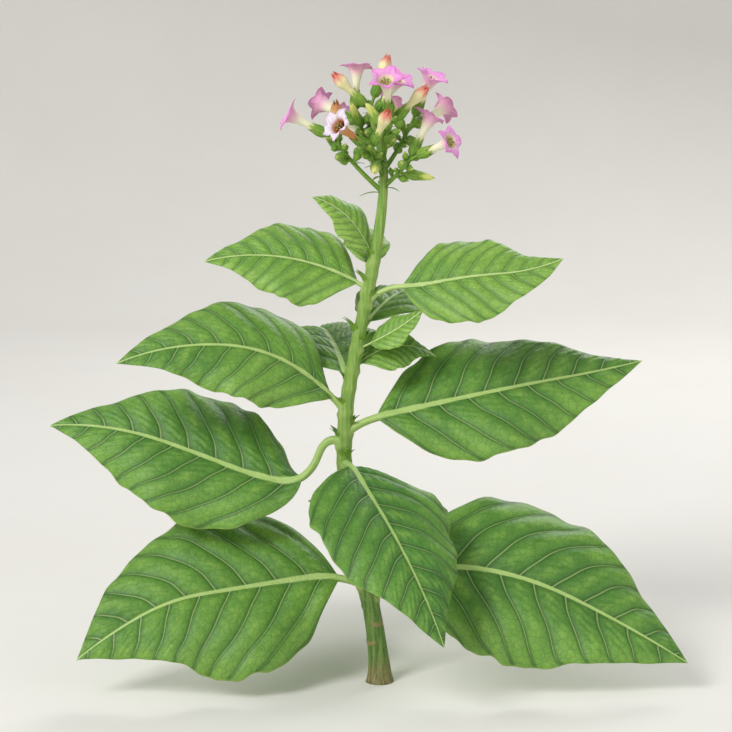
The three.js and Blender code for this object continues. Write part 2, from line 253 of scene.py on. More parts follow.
# A material's node tree
class Board:
    def __init__(self, name):
        self.material = bpy.data.materials.new(name)
        self.material.use_nodes = True
        self.tree = self.material.node_tree
        self.tree.nodes.clear()
        self.objectPlace = self.node("ShaderNodeTexCoord", {}).outputs["Object"]

    # Adds a node with these settings, then gives its sockets values or links by their names or numbers.
    # A text is a colour
    def node(self, kind, values, **settings):
        made = self.tree.nodes.new(kind)
        for key, setting in settings.items():
            setattr(made, key, setting)
        for key, value in values.items():
            named = [socket for socket in made.inputs if socket.enabled and socket.name == key]
            socket = named[0] if named else made.inputs[key]
            value = value.socket if isinstance(value, Wire) else value
            value = paint(value) if isinstance(value, str) else value
            if isinstance(value, bpy.types.NodeSocket):
                self.tree.links.new(value, socket)
            else:
                socket.default_value = value
        return made

    # A Math node of these values
    def math(self, operation, *values):
        made = self.node("ShaderNodeMath", dict(enumerate(values)), operation=operation)
        return Wire(self, made.outputs[0])

    # The three numbers that the mesh keeps at each of its points under this name
    def kept(self, name):
        vector = self.node("ShaderNodeAttribute", {}, attribute_name=name).outputs["Vector"]
        parts = self.node("ShaderNodeSeparateXYZ", {"Vector": vector}).outputs
        return [Wire(self, part) for part in parts]

    # 0 below low, 1 above high, and 3x² - 2x³ between them
    def rise(self, value, low, high):
        made = self.node("ShaderNodeMapRange", {"Value": value, "From Min": low, "From Max": high},
                         interpolation_type="SMOOTHSTEP")
        return Wire(self, made.outputs["Result"])

    # Noise with so many features to a metre, from Object coordinates or another place
    def noise(self, scale, detail, vector=None):
        made = self.node("ShaderNodeTexNoise", {
            "Vector": vector or self.objectPlace, "Scale": scale, "Detail": detail, "Roughness": 0.55})
        return Wire(self, made.outputs["Fac"])

    # How far the place is from the nearest wall of a net of cells, in cells
    def toNet(self, scale):
        made = self.node("ShaderNodeTexVoronoi", {"Vector": self.objectPlace, "Scale": scale},
                         feature="DISTANCE_TO_EDGE")
        return Wire(self, made.outputs["Distance"])

    # Object coordinates stretched by these factors
    def stretched(self, factors):
        made = self.node("ShaderNodeMapping", {"Vector": self.objectPlace, "Scale": factors})
        return made.outputs["Vector"]

    # One vector of three values
    def joined(self, x, y, z):
        return self.node("ShaderNodeCombineXYZ", {"X": x, "Y": y, "Z": z}).outputs["Vector"]

    # first where share is 0, second where it is 1
    def mixed(self, share, first, second):
        made = self.node("ShaderNodeMix", {"Factor": share, "A": first, "B": second}, data_type="RGBA")
        return next(socket for socket in made.outputs if socket.enabled)

    # Ends the tree in a surface with a bump of this many millimetres
    def surface(self, colour, roughness, height, bumpDepth, glow=0.0, glowReach=(1, 1, 1), gloss=0.5):
        bump = self.node("ShaderNodeBump", {
            "Strength": 1.0, "Distance": bumpDepth * millimetre, "Height": height})
        skin = self.node("ShaderNodeBsdfPrincipled", {
            "Base Color": colour, "Roughness": roughness, "Normal": bump.outputs["Normal"],
            "Subsurface Weight": glow, "Subsurface Radius": glowReach, "Subsurface Scale": millimetre,
            "Specular IOR Level": gloss})
        self.node("ShaderNodeOutputMaterial", {"Surface": skin.outputs["BSDF"]})
        return self.material


# The stem: turns are height, right and back; radii are height and radius
stem = {
    "top": 822, "tipLength": 2.5, "footLength": 5,
    "turns": [(0, 0, 0), (335, -51, 8), (735, 5, -5), (822, -12, 0)],
    "radii": [(0, 14.5), (140, 12), (400, 9.4), (660, 7.6), (822, 3.6)],
    "flare": 6, "flareHeight": 16,
    "rows": 420, "columns": 64,
    "swell": 0.25, "swellLength": 31,
    "ribs": 9, "ribDepth": 0.28, "ribTwist": 0.006,
    "nodeSwell": 0.9, "nodeReach": 7,
    "cushion": 1.9, "cushionReach": 6, "cushionDrop": 3,
    "keel": 0.8, "keelLength": 60,  # a narrow ridge down from each leaf stalk
    "scars": [(34, 70), (58, 215), (86, -60), (108, 145)],
    "scarRaise": 1.1, "scarHeight": 3.4, "scarBow": 9, "scarEdge": 0.55,
    "stub": (506, 186),  # a lone shoot on the bare side, with no leaf beneath it
}

# The leaves, from the ground up. height is where the stalk leaves the stem, stalk and blade are lengths
# along the midrib, half is the blade's half width, wave shifts the ripple of its margins, tone is 0 on an
# old dark leaf and 1 on a young pale one. heading, rise and roll are keyed by distance along the midrib
leaves = {
    "leaf_low_left": dict(
        height=141, stalk=42, blade=396, half=130, wave=0.4, tone=0.3,
        heading=[(0, 188), (438, 200)],
        rise=[(0, 24), (90, -6), (240, -6), (330, -26), (438, -36)],
        roll=[(0, -10), (90, -54), (438, -48)]),
    "leaf_low_right": dict(
        height=124, stalk=52, blade=440, half=130, wave=2.1, tone=0.2,
        heading=[(0, -4), (492, -15)],
        rise=[(0, 42), (90, 12), (180, -8), (300, -24), (492, -30)],
        roll=[(0, 10), (100, 50), (492, 44)]),
    "leaf_low_back": dict(
        height=204, stalk=42, blade=370, half=106, wave=3.3, tone=0.15,
        heading=[(0, 80), (410, 74)],
        rise=[(0, 30), (120, 4), (410, -44)],
        roll=[(0, 0), (410, 8)]),
    "leaf_front": dict(
        height=318, stalk=34, blade=318, half=106, wave=1.2, tone=0.05,
        heading=[(0, -76), (120, -58), (350, -44)],
        rise=[(0, 12), (70, -28), (350, -64)],
        roll=[(0, 0), (350, 6)]),
    "leaf_middle_left": dict(
        height=345, stalk=92, blade=380, half=104, wave=4.2, tone=0.2,
        heading=[(0, 186), (100, 176), (472, 168)],
        rise=[(0, 60), (40, -80), (82, -46), (118, 9), (200, 21), (300, 18), (472, -6)],
        roll=[(0, 0), (60, -10), (120, -52), (472, -48)]),
    "leaf_middle_right": dict(
        height=362, stalk=52, blade=398, half=98, wave=0.9, tone=0.25,
        heading=[(0, 6), (450, 14)],
        rise=[(0, 34), (60, 12), (240, 10), (330, 8), (450, 12)],
        roll=[(0, 8), (100, 54), (450, 44)]),
    "leaf_upper_left": dict(
        height=392, stalk=30, blade=330, half=82, wave=5.1, tone=0.35,
        heading=[(0, 196), (350, 188)],
        rise=[(0, 50), (90, 36), (200, 6), (360, -22)],
        roll=[(0, -10), (80, -52), (360, -46)]),
    "leaf_middle_back": dict(
        height=426, stalk=34, blade=300, half=80, wave=2.7, tone=0.4,
        heading=[(0, 106), (330, 100)],
        rise=[(0, 42), (110, 18), (330, -38)],
        roll=[(0, 0), (330, -10)]),
    "leaf_small_right": dict(
        height=452, stalk=16, blade=122, half=40, wave=1.7, tone=0.6,
        heading=[(0, 24), (135, 14)],
        rise=[(0, 44), (60, 14), (135, -34)],
        roll=[(0, 10), (50, 40), (135, 30)]),
    "leaf_young_right": dict(
        height=482, stalk=22, blade=92, half=26, wave=3.9, tone=0.8,
        heading=[(0, -14), (110, -6)],
        rise=[(0, 22), (110, 40)],
        roll=[(0, 10), (40, 50), (110, 44)]),
    "leaf_upper_back": dict(
        height=502, stalk=30, blade=236, half=62, wave=0.2, tone=0.55,
        heading=[(0, 56), (260, 62)],
        rise=[(0, 40), (90, 18), (260, -34)],
        roll=[(0, 0), (260, 12)]),
    "leaf_upper_right": dict(
        height=545, stalk=62, blade=228, half=72, wave=2.4, tone=0.65,
        heading=[(0, -8), (290, -2)],
        rise=[(0, 54), (60, 2), (110, 12), (200, 4), (290, 24)],
        roll=[(0, 8), (80, 54), (285, 40)]),
    "leaf_top_left": dict(
        height=568, stalk=18, blade=222, half=69, wave=4.6, tone=0.75,
        heading=[(0, 176), (240, 186)],
        rise=[(0, 32), (110, 12), (240, -14)],
        roll=[(0, -8), (50, -50), (240, -42)]),
    "leaf_top_back": dict(
        height=588, stalk=18, blade=128, half=33, wave=2.6, tone=0.85,
        heading=[(0, 98), (145, 94)],
        rise=[(0, 58), (145, -10)],
        roll=[(0, 0), (145, 6)]),
    "leaf_top_small": dict(
        height=606, stalk=16, blade=118, half=36, wave=1.1, tone=0.9,
        heading=[(0, 198), (134, 186)],
        rise=[(0, 72), (60, 52), (134, 14)],
        roll=[(0, -8), (40, -50), (134, -36)]),
}


# The stem's middle at a height: right and back ease from one turn to the next by 3x² - 2x³
def stemMiddle(z):
    z = np.asarray(z, float)
    heights, rights, backs = np.array(stem["turns"], float).T
    low = np.clip(np.searchsorted(heights, z, side="right") - 1, 0, len(heights) - 2)
    share = eased((z - heights[low]) / (heights[low + 1] - heights[low]))
    right = rights[low] + (rights[low + 1] - rights[low]) * share
    back = backs[low] + (backs[low + 1] - backs[low]) * share
    return np.stack([right, back, z], -1)


# The radius on the keys, plus a root flare that dies away as exp(-z / height)
def stemRadius(z):
    return keyed(stem["radii"], z) + stem["flare"] * np.exp(-z / stem["flareHeight"])


# The cosine between an angle and a heading, and 0 on the far side
def facingShare(angle, heading):
    return np.maximum(np.cos(angle - np.radians(heading)), 0)


# The stem: level rings with slow ribs, a bell-shaped swelling at each leaf, a cushion and a narrow keel
# beneath each leaf stalk, and crescent scars of fallen leaves low down. All of it fades in above the flat
# foot, and the tip is closed by the square root of the way that is left
def stemSkin():
    z = np.linspace(0, stem["top"], stem["rows"])[:, None]
    angle = aroundBy(stem["columns"])
    growth = stem["swell"] * np.sin(z / stem["swellLength"] + 1.3)
    growth = growth + stem["ribDepth"] * np.cos(stem["ribs"] * (angle + stem["ribTwist"] * z))
    for leaf in leaves.values():
        above = z - leaf["height"]
        facing = facingShare(angle, leaf["heading"][0][1])
        cushion = np.exp(-((above + stem["cushionDrop"]) / stem["cushionReach"]) ** 2)
        growth = growth + stem["nodeSwell"] * np.exp(-(above / stem["nodeReach"]) ** 2)
        growth = growth + stem["cushion"] * cushion * facing**3
        growth = growth + stem["keel"] * facing**24 * np.exp(above / stem["keelLength"]) * (above < 0)
    scar = np.zeros_like(growth)
    for height, heading in stem["scars"]:
        facing = facingShare(angle, heading)
        bow = (z - height - stem["scarBow"] * (1 - facing)) / stem["scarHeight"]
        scar = scar + np.exp(-bow**4) * eased((facing - stem["scarEdge"]) / 0.2)
    growth = growth + stem["scarRaise"] * scar
    ends = np.sqrt(np.clip((stem["top"] - z) / stem["tipLength"], 0.02, 1))
    radius = (stemRadius(z) + growth * eased(z / stem["footLength"])) * ends
    right, back = [np.broadcast_to(axis, (stem["rows"], 3)) for axis in ([1.0, 0, 0], [0, 1.0, 0])]
    points = rings(stemMiddle(z[:, 0]), right, back, radius, angle)
    place = threes(z, growth, scar)[None]
    return points[None], place, place


# How the blades are made finer than their solids
blades = {
    "halfThickness": 0.45,  # at the midrib, half of that at the margin
    "smallThickness": 0.6,  # a small leaf's share of it
    "veinPairs": 9,
    "veinOffset": 0.45,     # how much sooner the veins on the left leave the midrib, in spacings
    "veinSlant": 0.5,       # how far a side vein runs forward for its way out, near the midrib
    "veinCurve": 0.42,      # how much further forward it has run at the margin, in half widths
    "veinWander": 0.05,     # how far it strays on the way, in spacings
    "veinRidge": 0.95,      # how far a side vein stands out beneath
    "veinReach": 1.4,       # how wide that ridge is beside the midrib, half of that at the margin
    "pucker": 0.03,         # how high the blade bulges between its veins, in half widths
    "quilt": 0.35,          # small bulges on those, as a share of them
    "channel": 0.3,         # how steeply the blade rises from its midrib
    "droop": 0.42,          # and how far it falls again towards its margin
    "wave": 0.085,          # slow waves of the margin, in half widths
    "waves": 2.6,
    "marginRipple": 0.018,  # fast ripples of the margin, in half widths
    "ribRadius": 0.0125,    # a leaf stalk's radius against the whole leaf's length
    "ribTaper": 0.75,       # how much slimmer the midrib gets along the blade, and again just before its end
    "ribFining": 0.25,      # how much slimmer it is than a leaf stalk would run on to be
    "footSwell": 0.4,       # how much thicker the stalk is at the stem
    "footReach": 9,
    "corner": 0.03,         # how far the bends between keys are rounded, against the leaf's length
    "small": 160,           # a leaf shorter than this gets fewer faces
    "grid": (165, 49),      # rows along a blade and points across it
    "smallGrid": (64, 25),
    "midribSteps": 384,
}


# The midrib's radius and the blade's half width at t of the way along the blade. The radius tapers evenly,
# swells at the stem by an exponential, and shrinks again before the tip. The half width is the hypotenuse of
# that radius and half · sin(pi t^0.73)^1.05
def leafWidths(leaf, t):
    inBlade = np.clip(t, 0, 1)
    fromStem = np.maximum(t * leaf["blade"] + leaf["stalk"] - blades["footReach"], 0)
    rib = (leaf["stalk"] + leaf["blade"]) * blades["ribRadius"] * (1 - blades["ribTaper"] * inBlade)
    rib = rib * (1 - blades["ribFining"] * eased(t / 0.3))
    rib = rib * (1 + blades["footSwell"] * np.exp(-fromStem / blades["footReach"]))
    rib = rib * (1 - blades["ribTaper"] * eased((t - 0.88) / 0.12))
    outline = np.sin(np.pi * inBlade**0.73).clip(0) ** 1.05
    return rib, np.maximum(np.hypot(rib, leaf["half"] * outline), 0.5)


# How far forward the side veins have run at v of the way out: (slant |v| + curve v²) half widths and a slight
# wander
def veinForward(leaf, t, v):
    spacing = leaf["blade"] / blades["veinPairs"]
    wander = blades["veinWander"] * spacing * np.sin(9 * v) * eased(np.abs(v) / 0.3) / leaf["half"]
    forward = blades["veinSlant"] * np.abs(v) + blades["veinCurve"] * v * v + wander
    return forward * leafWidths(leaf, t)[1]


# Where the grid's points lie: t along the blade, below 0 on the stalk, v across it from -1 on the right to 1
# on the left, and 1 on the underside. A ring is round on the stalk, so its v is the sine of its angle there.
# In the blade each ring runs forward as the side veins do, so that a vein keeps to one ring, except that
# this fades in from the blade's base: t is start + share · forward, found by damped repetitions
def leafGrid(leaf, small):
    bladeRows, columns = blades["smallGrid" if small else "grid"]
    stalkRows = 8 if small else max(16, leaf["stalk"] // 3)
    x = np.concatenate([np.linspace(-1, 1, columns), np.linspace(1, -1, columns)])[None]
    under = np.repeat([1.0, 0.0], columns)[None]
    stalkStart = -leaf["stalk"] / leaf["blade"]
    onStalk = np.linspace(stalkStart, 0, stalkRows, endpoint=False)
    start = np.concatenate([onStalk, np.linspace(0, 1, bladeRows)])[:, None]
    flatness = eased(start / 0.05)
    v = np.sin(np.pi * x / 2) * (1 - flatness) + (0.6 * x + 0.4 * x**3) * flatness
    share = eased(start / 0.3)
    t = start + 0 * v
    for _ in range(16):
        aim = start + share * veinForward(leaf, t, v) / leaf["blade"]
        t = np.where(start > 0, np.clip((t + aim) / 2, 0, 1), start)
    return t, v, under


# The midrib's place at distances s from the stem, and the blade's side and normal there, turned about the
# midrib by its roll
def midribFrame(leaf, s):
    length = leaf["stalk"] + leaf["blade"]
    corner = blades["corner"] * length
    fine = np.linspace(0, length, blades["midribSteps"] + 1)
    heading, rise = [softKeyed(leaf[key], (fine[1:] + fine[:-1]) / 2, corner) for key in ("heading", "rise")]
    line = marched(stemMiddle(leaf["height"]), pointing(heading, rise), fine[1])
    heading, rise, roll = [softKeyed(leaf[key], s, corner) for key in ("heading", "rise", "roll")]
    turned, rolled = np.radians(heading), np.radians(roll)[..., None]
    level = threes(-np.sin(turned), np.cos(turned), 0)
    upright = np.cross(pointing(heading, rise), level)
    side = level * np.cos(rolled) + upright * np.sin(rolled)
    return along(line, length, s), side, upright * np.cos(rolled) - level * np.sin(rolled)


# A leaf as rings about its midrib: the underside from the right margin to the left, then the upper side back.
# The blade is a channel with drooping, waving margins, which bulges between its side veins. Their phase is
# whole on a vein: (distance along - forward) / spacing. Beneath, each vein is a ridge of exp(-distance²)
def leafSkin(leaf):
    small = leaf["stalk"] + leaf["blade"] < blades["small"]
    t, v, under = leafGrid(leaf, small)
    left = v > 0
    midrib, side, normal = midribFrame(leaf, leaf["stalk"] + leaf["blade"] * t)
    rib, half = leafWidths(leaf, t)
    out = np.abs(v) * half
    inBlade = eased(t / 0.05) * eased((1 - t) / 0.06)
    spacing = leaf["blade"] / blades["veinPairs"]
    phase = (t * leaf["blade"] - veinForward(leaf, t, v)) / spacing + blades["veinOffset"] * left

    between = np.abs(np.sin(np.pi * phase))
    quilt = np.sin(2 * np.pi * out / (0.3 * spacing) + 2.3 * np.sin(2 * np.pi * phase) + leaf["wave"])
    bulge = between**0.75 - 0.6 + blades["quilt"] * quilt * between**1.5
    away = eased(out / (0.09 * leaf["half"])) * eased((1 - np.abs(v)) / 0.14) * inBlade
    wave = np.abs(v) ** 2.5 * np.sin(2 * np.pi * blades["waves"] * t + leaf["wave"] + 1.9 * left)
    wave = blades["wave"] * wave * np.sin(np.pi * np.clip(t, 0, 1))
    lift = (t > 0) * (half * (blades["channel"] * np.abs(v) - blades["droop"] * v * v) + leaf["half"] * wave)
    lift = lift + blades["pucker"] * leaf["half"] * bulge * away

    roundness = np.sqrt(np.maximum(rib**2 - out**2, 0))
    sheet = blades["halfThickness"] * (1 - 0.5 * v * v) * (blades["smallThickness"] if small else 1)
    toVein = np.abs(phase - np.round(phase)) * spacing
    ridge = np.exp(-(toVein / (blades["veinReach"] * (1 - 0.5 * np.abs(v)))) ** 2)
    ridge = blades["veinRidge"] * ridge * inBlade * eased((1 - np.abs(v)) / 0.3)
    topShare = 0.85 - 0.5 * eased(t / 0.12)
    below, above = np.maximum(roundness, sheet + ridge), np.maximum(topShare * roundness, sheet)
    swell = np.where(under > 0, -below, above)

    ripple = np.sin(41 * t + leaf["wave"] + 2 * left) + 0.6 * np.sin(67 * t - leaf["wave"] - left)
    w = v * half * (1 + blades["marginRipple"] * ripple * np.abs(v) ** 3 * inBlade)
    points = midrib + side * w[..., None] + normal * (lift + swell)[..., None]
    trait = threes(under, out / np.maximum(rib, 1), leaf["tone"])
    return points[None], threes(phase, v, t)[None], trait[None]


# Leaf green: yellower between the side veins and towards the margins, with painted shade along the side
# veins, in their sunken creases, and beside the midrib, a pale line on each vein and the midrib, a fine net
# between, blotches of two sizes, a thin pale margin, and a paler, duller underside
def leafMaterial():
    board = Board("leafGreen")
    phase, across, onward = board.kept("place")
    under, ribs, tone = board.kept("trait")
    toVein = board.math("ABSOLUTE", board.math("FRACT", phase + 0.5) - 0.5)
    outwards = board.math("ABSOLUTE", across)
    inBlade = board.rise(onward, 0.0, 0.03)
    width = 0.034 * (1 - 0.6 * outwards)
    vein = (1 - board.rise(toVein / width, 0.35, 1.1)) * inBlade * (1 - board.rise(outwards, 0.8, 0.97))
    # Painted shade: a band that darkens the sunken crease along each side vein, strongest at the vein
    crease = (1 - board.rise(toVein, 0.02, 0.17)) * inBlade
    midrib = 1 - board.rise(ribs, 0.75, 1.25)
    # Painted shade in the groove beside the midrib, darkest just beside it and gone five rib radii out
    shadeBesideRib = 1 - board.rise(ribs, 1.2, 5.0)
    cells, mesh = board.toNet(95), board.toNet(310)
    net = (1 - board.rise(cells, 0.0, 0.09)) * inBlade
    fineNet = (1 - board.rise(mesh, 0.0, 0.12)) * inBlade
    patches, blotches = board.noise(9, 2.0), board.noise(46, 4.0)

    old = board.mixed(board.rise(patches, 0.3, 0.7), "#3a6e25", "#4e852f")
    young = board.mixed(board.rise(patches, 0.3, 0.7), "#6a9c38", "#8ab348")
    green = board.mixed(tone, old, young)
    bright = board.mixed(tone, "#79a641", "#a6c75f")
    dark = board.mixed(tone, "#24471a", "#44702a")
    green = board.mixed(board.rise(toVein, 0.12, 0.5) * board.rise(blotches, 0.3, 0.75) * 0.75, green, bright)
    green = board.mixed(board.rise(outwards + 0.9 * (patches - 0.5), 0.4, 0.95) * 0.32, green, bright)
    # Painted shade: the vein creases and the groove beside the midrib are mixed towards dark green
    green = board.mixed(crease * 0.68 + shadeBesideRib * 0.27, green, dark)
    green = board.mixed(net * 0.3 + fineNet * 0.12, green, dark)
    green = board.mixed(board.rise(outwards, 0.975, 1.0) * 0.5, green, "#93ad55")
    pale = board.mixed(tone, "#9dbb68", "#bcd286")
    green = board.mixed(vein * 0.55, green, pale)
    green = board.mixed(midrib, green, pale)
    below = board.mixed(board.rise(blotches, 0.3, 0.7), "#6f974c", "#86ac60")
    below = board.mixed(board.rise(toVein, 0.1, 0.5) * 0.35, below, "#94b56c")
    below = board.mixed(net * 0.45, below, "#a9c485")
    below = board.mixed(board.math("MAXIMUM", vein, midrib), below, "#c3d69c")
    colour = board.mixed(under * inBlade * (1 - midrib), green, below)
    roughness = 0.44 + 0.14 * blotches + 0.12 * under + 0.06 * vein
    height = 0.5 * board.rise(cells, 0.0, 0.3) + 0.22 * board.rise(mesh, 0.0, 0.35)
    height = height + 0.12 * board.noise(900, 2.0)
    return board.surface(colour, roughness, height, 0.55, glow=0.06, glowReach=(0.5, 1.0, 0.2), gloss=0.42)


# Stem green, deeper low down, with long paler streaks, pale nodes, brown scars, a hairy grain, and a corky
# foot
def stemMaterial():
    board = Board("stemGreen")
    height, growth, scar = board.kept("place")
    streaks = board.noise(260, 4.0, board.stretched((1, 1, 0.06)))
    grain, blotches = board.noise(1400, 2.0), board.noise(55, 3.0)
    cork = 1 - board.rise(height + 50 * (blotches - 0.5), 0, 48)
    young = board.rise(height, 60, 480)
    streaked = board.mixed(young, "#6f8c40", "#94ad56")
    green = board.mixed(young, "#3f6024", "#6c953b")
    green = board.mixed(board.rise(streaks, 0.35, 0.7) * 0.85, green, streaked)
    green = board.mixed(board.rise(growth, 0.5, 1.8) * 0.5, green, "#a3b868")
    green = board.mixed(board.rise(blotches, 0.6, 0.8) * 0.3, green, "#4f6d2b")
    bark = board.mixed(board.rise(streaks, 0.3, 0.7), "#5d5233", "#94845a")
    colour = board.mixed(cork * 0.85, green, bark)
    colour = board.mixed(board.rise(scar + 0.5 * (blotches - 0.5), 0.3, 0.9) * 0.75, colour, "#86704a")
    colour = board.mixed(board.rise(grain, 0.58, 0.7) * 0.35, colour, "#cdd6a4")
    relief = 0.6 * streaks + 0.35 * grain + 0.4 * cork * board.noise(420, 4.0)
    return board.surface(colour, 0.52 + 0.2 * grain, relief, 0.5,
                         glow=0.05, glowReach=(0.6, 1.0, 0.3), gloss=0.35)


stemSurface = stemSkin()
makePiece("stem_skin", [stemSurface], stemMaterial(), ["stem"])
leafGreen = leafMaterial()
for name, leaf in leaves.items():
    makePiece(name + "_blade", [leafSkin(leaf)], leafGreen, [name])
print("stem and leaves made")

# The flower head. Branches leave the stem one above the other, each turned on from the last by the golden
# angle, and climb more steeply by gain towards their tips. bears lists what a branch carries from its tip
# down, and turn is where the first of them stands about it. Each next one leaves further down, leans out
# further, and is turned on by the golden angle
head = {
    "firstHeight": 704, "apart": 7.5, "firstHeading": 186, "steps": 60,
    "branches": [
        dict(length=98, rise=40, gain=14, turn=270, bears=["open", "spent", "green", "young", "young"]),
        dict(length=60, rise=34, gain=12, turn=270, bears=["open", "open", "young", "green"]),
        dict(length=72, rise=44, gain=14, turn=200, bears=["open", "open", "green", "young", "young"]),
        dict(length=56, rise=40, gain=10, turn=250, bears=["faded", "tube", "young", "green"]),
        dict(length=74, rise=52, gain=12, turn=160, bears=["open", "open", "green", "young", "young"]),
        dict(length=76, rise=50, gain=12, turn=115, bears=["open", "open", "green", "young"]),
        dict(length=60, rise=58, gain=12, turn=220, bears=["open", "tube", "green", "young"]),
    ],
    "crown": dict(length=60, turn=152, bears=["tube", "tube", "open", "green", "young"]),
    "fan": dict(first=0, below=10, lean=26, leanMore=13),
    "tinyFan": dict(first=3, below=6.5, lean=44, leanMore=5, turn=68.7, count=7),
    "footRadius": 3.4, "tipRadius": 2.4, "footSwell": 0.9, "branchColumns": 24, "branchRib": 0.16,
    "pedicelLean": 0.55, "pedicelRadius": 2.1, "pedicelRows": 12, "pedicelColumns": 15, "pedicelRib": 0.12,
    "bend": 1.6,         # how far a flower's middle strays at 60 along it
    "tinySpread": 0.65,  # how much larger the tiny buds with the highest tone are
}
# size scales a whole flower, pedicel is its stalk's length
kinds = {
    "open": dict(size=1.15, pedicel=14),
    "faded": dict(size=1.15, pedicel=12),
    "tube": dict(size=1.1, pedicel=14),
    "spent": dict(size=1.0, pedicel=12),
    "green": dict(size=1.1, pedicel=12),
    "young": dict(size=1.1, pedicel=10),
    "tiny": dict(size=0.62, pedicel=6.5),
}


# A branch's points and its direction at a distance: its rise grows evenly from foot to tip
def branchLine(entry, number):
    heading = head["firstHeading"] + number * goldenAngle
    fine = np.linspace(0, entry["length"], head["steps"] + 1)

    def directionAt(s):
        return pointing(heading, entry["rise"] + entry["gain"] * s / entry["length"])

    foot = stemMiddle(head["firstHeight"] + number * head["apart"])
    return marched(foot, directionAt((fine[1:] + fine[:-1]) / 2), fine[1]), directionAt


# The uppermost stem as such a line: its direction is from 1 below to 1 above
def crownLine(entry):
    low = stem["top"] - entry["length"]

    def directionAt(s):
        return unit(stemMiddle(low + s + 1) - stemMiddle(low + s - 1))

    return stemMiddle(low + np.linspace(0, entry["length"], head["steps"] + 1)), directionAt


# What a line bears: flower k leaves it first + k steps below the tip and points lean degrees away from it,
# towards left · cos + above · sin of its turn. Its foot is two half steps of its stalk away
def fanned(entry, line, directionAt, fan):
    k = np.arange(len(entry["bears"]))
    s = entry["length"] - fan["first"] - fan["below"] * k
    start = along(line, entry["length"], s)
    before = directionAt(s)
    left, above = squareTo(before)
    turn = np.radians(entry["turn"] + goldenAngle * k)[:, None]
    lean = np.radians(fan["lean"] + fan["leanMore"] * k)[:, None]
    own = before * np.cos(lean) + (left * np.cos(turn) + above * np.sin(turn)) * np.sin(lean)
    side, up = squareTo(own)
    stalk = np.array([kinds[kind]["pedicel"] for kind in entry["bears"]], float)[:, None]

    def turning(share):
        turned = head["pedicelLean"] + (1 - head["pedicelLean"]) * eased(share)
        return unit(before + (own - before) * turned)

    foot = start + stalk / 2 * (turning(0.25) + turning(0.75))
    size = np.array([kinds[kind]["size"] for kind in entry["bears"]], float)
    return dict(kind=np.array(entry["bears"]), start=start, first=turning(0) * stalk, last=own * stalk,
                foot=foot, own=own, side=side, up=up, size=size)


# The flowers of these kinds, picked from every array of the flowers
def ofKinds(*names):
    chosen = np.isin(flowers["kind"], names)
    return {key: values[chosen] for key, values in flowers.items()}


# Points of shapes about a flower's own direction:
# foot + size · (own · depth + side · (r cos a + bend (depth / 60)²) + up · r sin a)
def placed(group, depth, radius, angle):
    depth, radius = np.broadcast_arrays(depth, radius)
    bend = group["bend"][:, None, None] * (depth / 60) ** 2
    foot, own, side, up = [group[key][:, None, None] for key in ("foot", "own", "side", "up")]
    offset = (own * depth[..., None] + side * (radius * np.cos(angle) + bend)[..., None]
              + up * (radius * np.sin(angle))[..., None])
    return foot + group["size"][:, None, None, None] * offset


# 0 in the middle of each of the five lobes and 1 between two of them
def lobeShare(angle):
    return np.abs((angle * 5 / np.pi + 1) % 2 - 1)


# Rows of values one after the other, each spread over so many flowers and columns
def stacked(parts, count, columns):
    return np.concatenate([np.broadcast_to(part, (count, part.shape[-2], columns)) for part in parts], axis=1)


# The open flower, outside from the calyx to the rim and inside back down the throat: depth, radius
petals = {
    "outside": [(8, 3.2), (19, 4.0), (31, 4.4), (38, 5.6), (43, 6.9), (47.5, 8.3), (50, 9.7)],
    "inside": [(50.2, 9.0), (47, 7.4), (42, 6.1), (35, 4.5), (26, 3.5)],
    "outsideRows": 24, "insideRows": 14, "limbRows": 14, "columns": 80,
    "tip": 22.3, "sinus": 13.8, "rim": 54.6,
    "thickness": 0.5, "fold": 1.3, "crease": 2.8, "creaseWidth": 0.16, "curl": 3.4, "wave": 1.3, "ages": 7,
    "uneven": 0.03,      # how much the limbs' edges differ
    "crumpleEdge": 0.05, "crumpleTube": 0.05, "crumpleLimb": 1.6,
}


